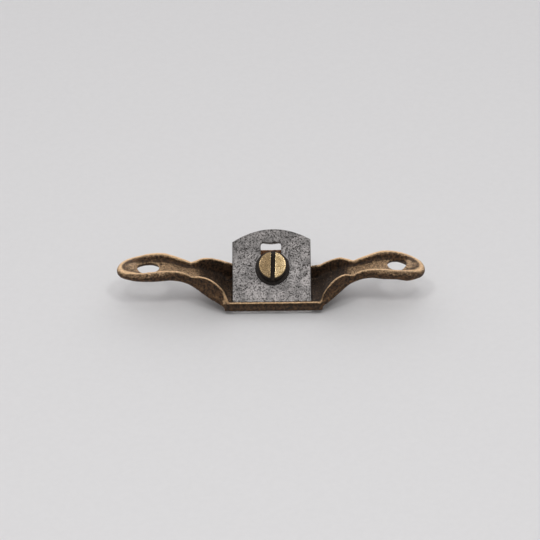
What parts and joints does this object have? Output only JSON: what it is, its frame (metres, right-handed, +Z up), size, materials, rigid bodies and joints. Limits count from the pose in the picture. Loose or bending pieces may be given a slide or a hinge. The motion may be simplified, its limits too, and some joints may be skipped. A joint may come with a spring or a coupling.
{
  "type": "spokeshave",
  "caption": "Miniature cast-bronze spokeshave with trough-shaped handles, an arched steel cutter and one slotted clamp screw.",
  "frame": {"origin": "on the flat of the sole, midway between toe and heel, on the plane of the clamp screw", "axes": "+X along the tool to the user's right, -Y towards the toe bar, +Z up from the sole"},
  "size_m": [0.0994, 0.0226, 0.0195],
  "materials": {
    "bronze": "worn cast bronze with a dark brown patina in the hollows and tan rubbed edges",
    "cutter_steel": "old grey tool steel, finely pitted and speckled dark",
    "washer_steel": "blackened steel, oily",
    "screw_brass": "bright worn brass with dark scratches"
  },
  "bodies": {
    "casting": {"body_casting": "bronze"},
    "blade": {"cutter": "cutter_steel"},
    "washer": {"clamp_washer": "washer_steel"},
    "screw": {"clamp_screw": "screw_brass"}
  },
  "joints": [
    {"name": "cutter_slide", "type": "slide", "parent": "casting", "child": "blade", "axis": [0, -0.7193, -0.6947], "range_m": [-0.0022, 0.0058]},
    {"name": "washer_lift", "type": "slide", "parent": "casting", "child": "washer", "axis": [0, -0.6947, 0.7193], "range_m": [0, 0.0038]},
    {"name": "screw_turn", "type": "hinge", "parent": "washer", "child": "screw", "pos_m": [0, 0.00277, 0.00886], "axis": [0, -0.6947, 0.7193], "range_deg": [0, 1710]}
  ],
  "couplings": [
    {"joint": "screw_turn", "follows": "washer_lift", "rad_per_m": 7854}
  ]
}
